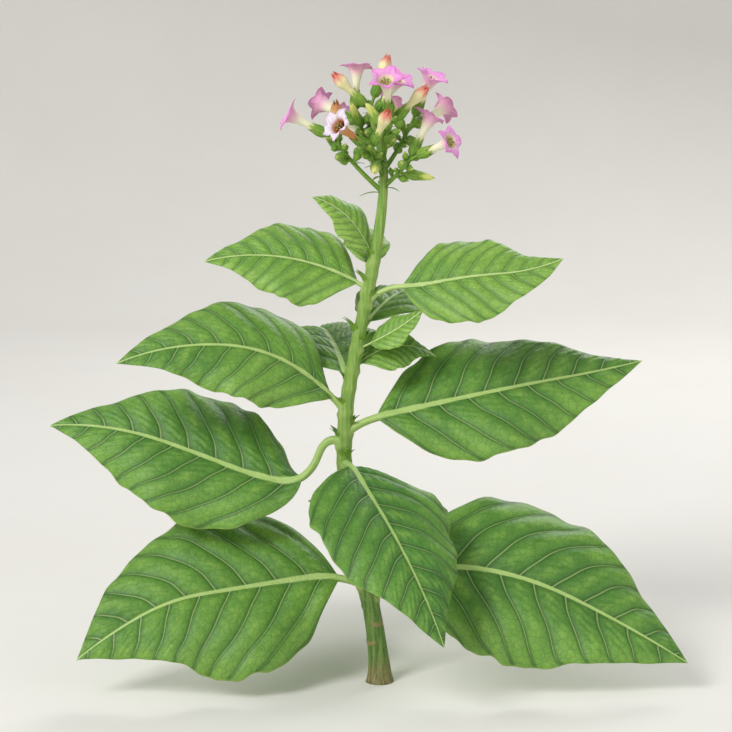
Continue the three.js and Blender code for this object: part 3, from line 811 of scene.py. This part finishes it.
# The limb's edge is sinus + (tip - sinus) · (0.35 (1 - x²) + 0.65 (1 - x)²) of the lobe share x. It opens
# from the mouth by 1 - (1 - m)^2.2 of the way m out to the edge, folds forward on the lobes and back
# between them, is creased down each lobe, and curls back at the tips. The rim of a younger flower stands
# further forward
def petalSkin(group, crumple):
    angle = aroundBy(petals["columns"])
    x = lobeShare(angle)
    own = group["tone"][:, None, None]
    edge = petals["sinus"] + (petals["tip"] - petals["sinus"]) * (0.35 * (1 - x * x) + 0.65 * (1 - x) ** 2)
    edge = edge * (1 + petals["uneven"] * np.sin(3 * angle + 40 * own)
                   - petals["crumpleEdge"] * crumple * np.sin(7 * angle + 9 * own))
    rim = petals["rim"] + petals["ages"] * (0.5 - own)
    outer = smoothThrough(petals["outside"], petals["outsideRows"])
    mouth, *throat = smoothThrough(petals["inside"], petals["insideRows"])
    throat = np.array(throat)

    def limb(m, start, inwards):
        relief = petals["fold"] * m**1.2 * np.cos(5 * angle)
        relief = relief - petals["crease"] * np.exp(-(x / petals["creaseWidth"]) ** 2) * m * (1.15 - m)
        relief = relief - petals["curl"] * m**4 * (1 - x) ** 2 * (0.6 + 0.8 * own)
        relief = relief + petals["wave"] * m**2 * np.sin(2 * angle + 25 * own)
        relief = relief + crumple * petals["crumpleLimb"] * m * np.sin(11 * angle + 30 * own + 5 * m)
        opening = start[0] + (rim - start[0]) * (1 - (1 - m) ** 2.2)
        depth = opening + relief + inwards * petals["thickness"] * (1 - 0.5 * m)
        return depth, start[1] + (edge - start[1]) * m

    outM = np.linspace(0, 1, petals["limbRows"] + 1)[1:, None]
    backM = np.vstack([outM[::-1], [[0.03]]])
    outDepth, outRadius = limb(outM, outer[-1], 0)
    inDepth, inRadius = limb(backM, mouth, 1)
    bumpy = 1 + petals["crumpleTube"] * crumple * np.sin(5 * angle + outer[:, :1] / 3)
    tubeZero, throatZero = 0 * outer[:, :1], 0 * throat[:, :1]
    depth, radius, inside, outwards = [stacked(parts, len(own), petals["columns"]) for parts in (
        (outer[:, :1], outDepth, inDepth, throat[:, :1]),
        (outer[:, 1:] * bumpy, outRadius, inRadius, throat[:, 1:]),
        (tubeZero, 0 * outM, 1 + 0 * backM, 1 + throatZero),
        (tubeZero, outM, backM, throatZero))]
    return placed(group, depth, radius, angle), threes(depth, radius, inside), threes(x, outwards, own)


# Cups with five teeth: an outline of depth and radius, then teeth that rise by dull + sharp (1 - x)^power of
# the lobe share x and draw in by close · (seal + (1 - seal) (1 - x)), and the inside back down. Ten ribs
# stand out as |cos 5a|³, and pleats as cos 5a from this share of the outline on
def toothedSkin(group, look, crumple=0.0):
    angle = aroundBy(look["columns"])
    x = lobeShare(angle)
    own = group["tone"][:, None, None]
    outer = smoothThrough(look["outside"], look["rows"])
    topDepth, topRadius = outer[-1]
    m = np.linspace(0, 1, look["toothRows"] + 1)[1:, None]
    share = (outer[:, :1] - outer[0, 0]) / (topDepth - outer[0, 0])
    ribs = np.abs(np.cos(5 * angle)) ** 3 - 0.45
    pleat = look["pleat"] * np.cos(5 * angle)
    outRadius = outer[:, 1:] * (1 + pleat * eased((share - look["pleatFrom"]) / 0.25))
    outRadius = outRadius + look["rib"] * ribs * np.sin(np.pi * np.clip(share * 0.9 + 0.05, 0, 1))
    outRadius = outRadius + crumple * np.sin(4 * angle + 9 * share + 20 * own) * share

    uneven = 1 + 0.12 * np.sin(2 * angle + 30 * own)
    reach = look["dull"] + look["sharp"] * (1 - x) ** look["power"] * uneven
    closing = look["close"] * m * (look["seal"] + (1 - look["seal"]) * (1 - x))
    toothDepth = topDepth + reach * m
    toothRadius = (topRadius - closing + look["flick"] * m**4 * (1 - x)) * (1 + pleat * (1 - m))
    toothRadius = toothRadius + 0.16 * look["rib"] * ribs
    innerRadius = toothRadius - look["thickness"] * (1 - 0.4 * m)
    inner = np.array([[topDepth - 1.5, topRadius - look["thickness"] - 0.3],
                      [look["floor"], look["floorRadius"]]])
    depth, radius, onward = [stacked(parts, len(own), look["columns"]) for parts in (
        (outer[:, :1], toothDepth, toothDepth[..., ::-1, :], inner[:, :1]),
        (outRadius, toothRadius, innerRadius[..., ::-1, :], inner[:, 1:]),
        (share, 1 + m, 1 + m[::-1], 0 * inner[:, :1]))]
    return placed(group, depth, radius, angle), threes(ribs, 0, 0), threes(x, onward, own)


# A calyx, a tube with a swollen five-toothed tip, the pleated tip of a green bud, and a shut young bud
calyxLook = {
    "outside": [(-0.6, 2.2), (1.4, 4.3), (4, 6.0), (10, 7.0), (15, 6.4)],
    "dull": 1.0, "sharp": 9.0, "power": 1.2, "close": 1.8, "flick": 0.7, "seal": 0.35,
    "rib": 0.5, "pleat": 0.03, "pleatFrom": 0.5,
    "thickness": 0.5, "floor": 9, "floorRadius": 4.2, "columns": 50, "rows": 18, "toothRows": 8,
}
tubeLook = {
    "outside": [(8, 3.2), (19, 4.1), (28, 4.4), (34, 5.8), (39, 7.4), (43, 8.0), (47.5, 7.2), (51, 5.9)],
    "dull": 1.6, "sharp": 7.2, "power": 1.25, "close": 3.6, "flick": 0.7, "seal": 0.4,
    "rib": 0.12, "pleat": 0.07, "pleatFrom": 0.62,
    "thickness": 0.6, "floor": 46, "floorRadius": 3.5, "columns": 60, "rows": 34, "toothRows": 9,
}
greenTipLook = {
    "outside": [(7, 4.0), (14, 4.8), (21, 4.9), (27, 4.5), (31, 3.6), (34, 2.6)],
    "dull": 0.6, "sharp": 3.2, "power": 1.2, "close": 2.2, "flick": 0.2, "seal": 0.8,
    "rib": 0.1, "pleat": 0.09, "pleatFrom": 0.4,
    "thickness": 0.4, "floor": 32, "floorRadius": 1.2, "columns": 40, "rows": 20, "toothRows": 5,
}
youngLook = {
    "outside": [(-0.5, 2.1), (1.2, 4.0), (3.2, 5.4), (7, 6.2), (10.5, 5.0), (13, 3.4)],
    "dull": 0.6, "sharp": 3.6, "power": 1.2, "close": 2.6, "flick": 0.25, "seal": 0.7,
    "rib": 0.45, "pleat": 0.05, "pleatFrom": 0.4,
    "thickness": 0.4, "floor": 12, "floorRadius": 1.6, "columns": 50, "rows": 20, "toothRows": 6,
}
tinyLook = {**youngLook, "columns": 30, "rows": 11, "toothRows": 4}
coreLook = {
    "outside": [(8, 3.4), (12, 3.2), (14, 2.4), (15.2, 1.5)],
    "dull": 0.3, "sharp": 0.9, "power": 1.2, "close": 1.3, "flick": 0.0, "seal": 0.9,
    "rib": 0.05, "pleat": 0.12, "pleatFrom": 0.3,
    "thickness": 0.2, "floor": 14, "floorRadius": 0.5, "columns": 15, "rows": 7, "toothRows": 3,
}


# Tubes along lines of middles, each ring square to its line: radius plus rib cos 5a
def stalkSkin(middles, side, radius, columns, rib, tone):
    direction = unit(np.gradient(middles, axis=1))
    up = unit(np.cross(direction, side[:, None]))
    angle = aroundBy(columns)
    ridge = rib * np.cos(5 * angle)
    points = rings(middles, np.cross(up, direction), up, radius[..., None] + ridge, angle)
    return points, threes(ridge, 0, 0), threes(0.5, 0, tone)


# Flower stalks: the cubic from start to foot whose slopes are the stalk's first and last directions
def pedicelSkin(group):
    s = np.linspace(0, 1, head["pedicelRows"])[:, None]
    start, foot, first, last = [group[key][:, None] for key in ("start", "foot", "first", "last")]
    middles = (start * (2 * s**3 - 3 * s**2 + 1) + first * (s**3 - 2 * s**2 + s)
               + foot * (3 * s**2 - 2 * s**3) + last * (s**3 - s**2))
    radius = head["pedicelRadius"] * (0.92 + 0.35 * s[:, 0] ** 4 + 0.25 * (1 - s[:, 0]) ** 6)
    radius = np.broadcast_to(radius, middles.shape[:2])
    return stalkSkin(middles, group["side"], radius, head["pedicelColumns"], head["pedicelRib"], 0.6)


# Branches: their radius falls evenly from foot to tip, with a foot that swells by an exponential
def branchSkin():
    middles = np.stack([line[::2] for _, line, _ in lines[:-1]])
    side = squareTo(np.stack([directionAt(0.0) for _, _, directionAt in lines[:-1]]))[0]
    steps = middles.shape[1]
    radius = np.linspace(head["footRadius"], head["tipRadius"], steps) + head["footSwell"] * np.exp(
        -np.arange(steps) / 2)
    radius = np.broadcast_to(radius, middles.shape[:2])
    return stalkSkin(middles, side, radius, head["branchColumns"], head["branchRib"], 0.4)


# Slender pointed leaflets: one at each branch's foot, one at each flower stalk's foot, and three folded
# together in the axil of each leaf. Their length, half width, how steeply they leave and how far they arch
# over. turns are where the three stand about their axil
bracts = {
    "branch": dict(length=29, half=4.0, rise=14, arch=38),
    "stalk": dict(length=13, half=1.5, rise=20, arch=30),
    "axil": dict(length=25, half=6.2, rise=74, arch=40),
    "turns": (-24, 3, 26), "fanning": 1.8, "axilRise": 7, "axilDepth": 0.85, "branchDrop": 3.6, "aside": 20,
    "shortest": 0.7, "longest": 1.15, "stray": 12,
    "thickness": 0.35, "fold": 0.3, "thinnest": 0.12, "rows": 11, "columns": 10,
}


# A bract's middle bends evenly from its first rise down by arch. Its half width is half · sin(pi t^0.62), and
# its halves are folded up about the middle: up · fold |w|
def bractSkin():
    wanted = []
    for number, (_, line, _) in enumerate(lines[:-1]):
        foot = line[2] - [0, 0, bracts["branchDrop"]]
        wanted.append((foot, head["firstHeading"] + number * goldenAngle, bracts["branch"]))
    shoots = [(leaf["height"] + bracts["axilRise"], leaf["heading"][0][1]) for leaf in leaves.values()]
    for height, heading in [*shoots, stem["stub"]]:
        for turn in bracts["turns"]:
            out = bracts["axilDepth"] * stemRadius(height) * pointing(heading + turn, 0)
            wanted.append((stemMiddle(height) + out, heading + bracts["fanning"] * turn, bracts["axil"]))
    for start, own in zip(flowers["start"], flowers["own"]):
        heading = np.degrees(np.arctan2(own[1], own[0])) + bracts["aside"]
        wanted.append((start, heading, bracts["stalk"]))
    feet, headings, looks = zip(*wanted)
    length, half, rise, arch = [np.array([look[key] for look in looks], float)[:, None]
                                for key in ("length", "half", "rise", "arch")]
    length = length * chance.uniform(bracts["shortest"], bracts["longest"], length.shape)
    heading = np.array(headings)[:, None] + chance.uniform(-bracts["stray"], bracts["stray"], length.shape)
    t = np.linspace(0, 1, bracts["rows"])[None]
    direction = pointing(heading, rise - arch * t)
    steps = direction * (length / (bracts["rows"] - 1))[..., None]
    steps[:, 0] = 0
    middle = np.array(feet)[:, None] + np.cumsum(steps, axis=1)
    side, up = squareTo(direction)
    width = np.maximum(half * np.sin(np.pi * (0.04 + 0.95 * t) ** 0.62), bracts["thinnest"])[..., None]
    angle = aroundBy(bracts["columns"])
    w = width * np.cos(angle)
    lift = bracts["fold"] * np.abs(w) + bracts["thickness"] * np.sin(angle)
    points = middle[..., None, :] + side[..., None, :] * w[..., None] + up[..., None, :] * lift[..., None]
    return points, threes(0, 0, 0), threes(0, 0.8 * t[..., None], 0.5)


# Five anthers on threads and a knob on its style, in the mouth of each open flower. base is how deep in the
# tube the threads and the style start
stamens = {
    "base": 30, "spread": 0.8, "reach": 3.9, "depth": 50.8, "stray": 0.9, "length": 3.7, "width": 1.35,
    "thread": 0.32, "style": 0.45, "knob": 1.6, "knobDepth": 52.8,
    "antherGrid": (9, 10), "threadGrid": (6, 6), "styleGrid": (18, 12),  # rows along and points around
}


# The given shape of depth and radius on each of these feet, along its own direction
def beadSkin(foot, own, outline, grid, tone):
    rows, columns = grid
    side, up = squareTo(own)
    group = dict(foot=foot, own=own, side=side, up=up, size=np.ones(len(foot)), bend=np.zeros(len(foot)))
    depth, radius = smoothThrough(outline, rows).T[..., None]
    points = placed(group, np.broadcast_to(depth, (len(foot), rows, 1)), radius, aroundBy(columns))
    return points, threes(0, 0, 0), threes(0, 0, tone)


# Each thread runs from size · (own · base + out · spread) to size · (own · depth + out · reach), with out at
# (k + 1/2) fifths of a turn and a little on. The anther leans outwards on its end, and the style stands on
# the middle
def throatParts(group):
    foot, own, size = group["foot"], group["own"], group["size"][:, None]
    tone = group["tone"][:, None]
    feet, ends = [], []
    for k in range(5):
        angle = 2 * np.pi * (k + 0.5) / 5 + 0.4 * tone
        out = group["side"] * np.cos(angle) + group["up"] * np.sin(angle)
        depth = stamens["depth"] + stamens["stray"] * np.sin(3 * k + 20 * tone)
        feet.append(foot + size * (own * stamens["base"] + out * stamens["spread"]))
        ends.append(foot + size * (own * depth + out * stamens["reach"]))
    feet, ends, onward = np.vstack(feet), np.vstack(ends), np.tile(own, (5, 1))
    outwards = ends - np.tile(foot, (5, 1))
    outwards = unit(outwards - onward * np.sum(outwards * onward, axis=1, keepdims=True))
    leaning = unit(onward + 0.9 * outwards)
    length, width = stamens["length"], stamens["width"]
    anthers = beadSkin(ends - 0.5 * length * leaning, leaning, [
        (0, 0.15), (0.15 * length, 0.75 * width), (0.5 * length, width), (0.85 * length, 0.75 * width),
        (length, 0.15)], stamens["antherGrid"], 0.0)
    span = np.linalg.norm(ends - feet, axis=1).mean()
    thread, style, knob = stamens["thread"], stamens["style"], stamens["knob"]
    threads = beadSkin(feet, unit(ends - feet), [(0, thread), (span, thread)], stamens["threadGrid"], 1.0)
    reach = (stamens["knobDepth"] - stamens["base"]) * size.mean()
    styles = beadSkin(foot + own * (stamens["base"] * size), own, [
        (0, style), (reach - 1.9, style), (reach - 1.4, 0.8 * knob), (reach - 0.5, knob),
        (reach + 0.3, 0.7 * knob), (reach + 0.5, 0.1)], stamens["styleGrid"], 0.5)
    return [anthers, threads, styles]


# Petals. Outside, the tube goes from yellow green to cream and blushes towards the limb. Inside, the throat
# is pale and the limb pink, deeper at its rim, with a vein down each lobe and fine streaks outwards
def petalMaterial(name, tint):
    board = Board(name)
    depth, radius, inside = board.kept("place")
    lobe, outwards, tone = board.kept("trait")
    streaks = board.noise(4.5, 4.0, board.joined(lobe * 2.6, outwards * 0.9, tone * 37))
    blotches = board.noise(150, 3.0)
    outside = board.mixed(board.rise(depth, 15, 32), tint["foot"], tint["tube"])
    outside = board.mixed(board.rise(depth + 5 * streaks, 38, 53) * 0.85, outside, tint["blush"])
    throat = board.mixed(board.rise(radius, 5, 9), tint["deep"], tint["throat"])
    limb = board.mixed(board.rise(streaks, 0.3, 0.7), tint["limb"], tint["pale"])
    limb = board.mixed(tone * 0.4, limb, tint["pale"])
    towardsRim = board.rise(outwards + 0.3 * (blotches - 0.5), 0.62, 1.0)
    limb = board.mixed(towardsRim * 0.6, limb, tint["rim"])
    limb = board.mixed((1 - board.rise(lobe, 0.01, 0.07)) * 0.45, limb, tint["rim"])
    within = board.mixed(board.rise(radius + 2 * (streaks - 0.5), 7.6, 11), throat, limb)
    outside = board.mixed(board.rise(radius, 9.5, 14) * 0.7, outside, limb)
    colour = board.mixed(inside, outside, within)
    colour = board.mixed(board.rise(board.noise(700, 2.0), 0.62, 0.72) * 0.12, colour, "#ffffff")
    relief = streaks + 0.3 * board.noise(1300, 2.0)
    return board.surface(colour, 0.5 + 0.18 * blotches, relief, 0.3,
                         glow=0.16, glowReach=(1.6, 0.7, 1.1), gloss=0.3)


# Hairy green of calyces, stalks and shut buds: dark furrows between paler ribs, yellower towards the teeth
def greenMaterial():
    board = Board("budGreen")
    rib = board.kept("place")[0]
    share, tone = board.kept("trait")[1:]
    patches, mottle, grain = board.noise(120, 3.0), board.noise(420, 3.0), board.noise(1500, 2.0)
    green = board.mixed(board.rise(patches, 0.3, 0.7), "#4e7c22", "#6c972c")
    green = board.mixed(board.rise(rib + 0.8 * (mottle - 0.5), -0.1, 0.6) * 0.4, green, "#8fb142")
    furrow = 1 - board.rise(rib + 0.4 * (mottle - 0.5), -0.5, -0.3)
    green = board.mixed(furrow * 0.3, green, "#3a6521")
    green = board.mixed(board.rise(share, 1.2, 1.95) * 0.45, green, "#a7bd50")
    green = board.mixed(tone * 0.25, green, "#a3c04f")
    green = board.mixed(board.rise(grain, 0.6, 0.72) * 0.3, green, "#dbe4b5")
    return board.surface(green, 0.55 + 0.15 * grain, 0.6 * grain + 0.5 * patches, 0.35,
                         glow=0.08, glowReach=(0.6, 1.0, 0.3), gloss=0.32)


# A shut flower tube: the foot, the tube, then the tip's colour from this share of it up, streaked down each
# lobe, with darker folds between the lobes
def tubeMaterial(name, tint):
    board = Board(name)
    lobe, share, tone = board.kept("trait")
    streaks = board.noise(5, 4.0, board.joined(lobe * 3, share * 0.8, tone * 31))
    grain = board.noise(1500, 2.0)
    colour = board.mixed(board.rise(share, 0.2, 0.6), tint["foot"], tint["tube"])
    tipped = board.rise(share + 0.35 * (streaks - 0.5) - 0.14 * lobe, tint["from"], tint["full"])
    colour = board.mixed(tipped, colour, tint["tip"])
    colour = board.mixed(board.rise(share, 1.05, 1.9) * 0.6, colour, tint["end"])
    folded = board.rise(lobe, 0.82, 0.98) * board.rise(share, 0.75, 1.0)
    colour = board.mixed(folded * 0.5, colour, tint["fold"])
    colour = board.mixed(board.rise(grain, 0.58, 0.7) * 0.3, colour, "#f4f2dd")
    return board.surface(colour, 0.5 + 0.15 * grain, streaks + 0.4 * grain, 0.3,
                         glow=0.14, glowReach=(1.4, 0.8, 0.5), gloss=0.32)


# Hairs are one pale colour, a little uneven in its gloss
def hairMaterial():
    board = Board("hairPale")
    grain = board.noise(300, 2.0)
    colour = board.mixed(grain, "#d5dfb0", "#eef2d6")
    return board.surface(colour, 0.35 + 0.2 * grain, grain, 0.02)


# Anthers tan, threads cream, style and knob green, by the tone kept in the mesh
def stamenMaterial():
    board = Board("stamenTan")
    tone = board.kept("trait")[2]
    grain = board.noise(2200, 2.0)
    tan = board.mixed(board.rise(grain, 0.35, 0.65), "#8a5f33", "#c49a5a")
    colour = board.mixed(board.rise(tone, 0.2, 0.4), tan, "#6f9a4c")
    colour = board.mixed(board.rise(tone, 0.7, 0.9), colour, "#ece6bd")
    return board.surface(colour, 0.55 + 0.1 * grain, grain, 0.2)


# The solids whose names begin so
def solidsNamed(start):
    return sorted(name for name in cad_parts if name.startswith(start))


lines = [(entry, *branchLine(entry, number)) for number, entry in enumerate(head["branches"])]
lines.append((head["crown"], *crownLine(head["crown"])))
borne = [fanned(entry, line, directionAt, head["fan"]) for entry, line, directionAt in lines]
tiny = head["tinyFan"]
for entry, line, directionAt in lines:
    fewer = dict(length=entry["length"], turn=entry["turn"] + tiny["turn"], bears=["tiny"] * tiny["count"])
    borne.append(fanned(fewer, line, directionAt, tiny))
flowers = {key: np.concatenate([group[key] for group in borne]) for key in borne[0]}
flowers["bend"] = chance.uniform(-head["bend"], head["bend"], len(flowers["kind"]))
flowers["tone"] = chance.uniform(0, 1, len(flowers["kind"]))
spread = 0.8 + head["tinySpread"] * flowers["tone"]
flowers["size"] = flowers["size"] * np.where(flowers["kind"] == "tiny", spread, 1)

petalPink = petalMaterial("petalPink", {
    "foot": "#cfd893", "tube": "#f0ecd0", "blush": "#e9a0cf", "deep": "#c9cf86", "throat": "#f2edc6",
    "limb": "#dd8acc", "pale": "#ecafe0", "rim": "#cc56ac"})
petalFaded = petalMaterial("petalFaded", {
    "foot": "#c08a52", "tube": "#c98b55", "blush": "#c99a7c", "deep": "#6e3d1d", "throat": "#c27f45",
    "limb": "#ddcfe2", "pale": "#efe7ee", "rim": "#b79bb9"})
bloomGreen = greenMaterial()
tubeCream = tubeMaterial("tubeCream", {
    "foot": "#c6d480", "tube": "#e9e2ae", "tip": "#dc7c6c", "end": "#c9483f", "fold": "#8f3f36",
    "from": 0.7, "full": 0.98})
tubeSpent = tubeMaterial("tubeSpent", {
    "foot": "#bccb78", "tube": "#dcc98c", "tip": "#c98a5a", "end": "#8a4a2c", "fold": "#6b3a22",
    "from": 0.55, "full": 0.95})
tipGreen = tubeMaterial("tipGreen", {
    "foot": "#a9c25a", "tube": "#c3d06b", "tip": "#dcdc84", "end": "#e6dc8e", "fold": "#8aa544",
    "from": 0.6, "full": 1.0})

branches, stalks = branchSkin(), pedicelSkin(ofKinds(*kinds))
cups = toothedSkin(ofKinds("open", "faded", "tube", "spent", "green"), calyxLook)
young = toothedSkin(ofKinds("young"), youngLook)
opened = petalSkin(ofKinds("open"), 0.0)
shut = toothedSkin(ofKinds("tube"), tubeLook)
faded = petalSkin(ofKinds("faded"), 1.0)
spent = toothedSkin(ofKinds("spent"), tubeLook, 0.5)
tips = [toothedSkin(ofKinds("green"), greenTipLook), toothedSkin(ofKinds("young", "tiny"), coreLook)]
makePiece("head_stalks", [branches, stalks], bloomGreen, solidsNamed("head_branch"))
makePiece("calyces", [cups], bloomGreen)
makePiece("young_buds", [young], bloomGreen, solidsNamed("top_"))
makePiece("tiny_buds", [toothedSkin(ofKinds("tiny"), tinyLook)], bloomGreen)
makePiece("green_bud_tips", tips, tipGreen)
makePiece("open_petals", [opened], petalPink, solidsNamed("open_flower"))
makePiece("faded_petals", [faded], petalFaded, solidsNamed("faded_flower"))
makePiece("shut_tubes", [shut], tubeCream, solidsNamed("tube_flower"))
makePiece("spent_tube", [spent], tubeSpent, solidsNamed("spent_flower"))
makePiece("stamens", throatParts(ofKinds("open", "faded")), stamenMaterial())
makePiece("bracts", [bractSkin()], bloomGreen)
hairPale = hairMaterial()
makeHairs("head_hairs", [
    hairSpikes(branches[0], 1500), hairSpikes(stalks[0], 2600), hairSpikes(young[0], 1700, 2, 24),
    hairSpikes(cups[0], 5200, 2, calyxLook["rows"] + 6), hairSpikes(shut[0], 1500, 10, tubeLook["rows"]),
    hairSpikes(opened[0], 2200, 8, 24)], hairPale)
makeHairs("stem_hairs", [hairSpikes(stemSurface[0], 5200, 60, 415)], hairPale)
print("flower head made")

# The view of the whole plant from the front, and a soft light from the upper left with a fill and a rim. The
# floor has inner rings of these radii, is level as far as flat, then bends up into a wall of this height.
# Lengths are in metres here, except the lens
studio = {
    "elevation": 8, "distance": 2.95, "lens": 100,
    "lights": [  # place, width and power
        ((-3.0, -3.7, 3.9), 2.0, 225),
        ((4.0, -3.3, 2.2), 3.0, 36),
        ((1.6, 3.9, 3.6), 2.2, 105),
    ],
    "sky": 0.52,
    "radii": [1.2, 2.6], "flat": 4.2, "bend": 2.6, "wall": 3.4, "bendSteps": 24, "columns": 96,
}


# A camera or lamp placed in the scene and turned to look at the target
def aimed(name, data, place, target):
    thing = bpy.data.objects.new(name, data)
    thing.location = place
    thing.rotation_mode = "QUATERNION"
    thing.rotation_quaternion = (target - Vector(place)).to_track_quat("-Z", "Y")
    bpy.context.scene.collection.objects.link(thing)
    return thing


# A round level floor that bends up into a wall far out, all round: (flat + bend sin a, bend (1 - cos a)) from
# the middle out and up. Its tone is faintly uneven
def makeFloor():
    board = Board("floorPale")
    cloudy = board.noise(1.7, 4.0)
    colour = board.mixed(cloudy, "#e2dfd8", "#e9e7e2")
    material = board.surface(colour, 0.75 + 0.1 * cloudy, board.noise(160, 3.0), 0.08)
    columns, inner = studio["columns"], studio["radii"]
    bend = np.linspace(0, np.pi / 2, studio["bendSteps"] + 1)
    outwards = studio["flat"] + studio["bend"] * np.sin(bend)
    radius = np.concatenate([inner, outwards, outwards[-1:]])[:, None]
    height = np.concatenate([[0] * len(inner), studio["bend"] * (1 - np.cos(bend)), [studio["wall"]]])
    around = aroundBy(columns)
    points = threes(radius * np.cos(around), radius * np.sin(around), height[:, None])
    j = np.arange(columns)
    k = (j + 1) % columns
    low = (np.arange(len(radius) - 1) * columns)[:, None]
    walls = np.stack([low + j, low + columns + j, low + columns + k, low + k], -1)
    mesh = bpy.data.meshes.new("floor")
    mesh.from_pydata(points.reshape(-1, 3).tolist(), [], [j.tolist(), *walls.reshape(-1, 4).tolist()])
    mesh.polygons.foreach_set("use_smooth", np.ones(len(mesh.polygons), bool))
    mesh.materials.append(material)
    floor = bpy.data.objects.new("floor", mesh)
    bpy.context.scene.collection.objects.link(floor)


makeFloor()
target = (solidBox[0] + solidBox[1]) / 2
towardsCamera = Vector(pointing(-90, studio["elevation"]))
cameraData = bpy.data.cameras.new("camera")
cameraData.lens = studio["lens"]
camera = aimed("camera", cameraData, target + towardsCamera * studio["distance"], target)
bpy.context.scene.camera = camera
for number, (place, width, power) in enumerate(studio["lights"], 1):
    lamp = bpy.data.lights.new(f"softbox{number}", "AREA")
    lamp.size, lamp.energy = width, power
    aimed(lamp.name, lamp, place, target).visible_camera = False
world = bpy.data.worlds.new("studio")
world.use_nodes = True
sky = world.node_tree.nodes["Background"].inputs
sky["Color"].default_value = paint("#eef0f2")
sky["Strength"].default_value = studio["sky"]
bpy.context.scene.world = world
bpy.context.scene.view_settings.view_transform = "Standard"
print("floor, camera and lights made")
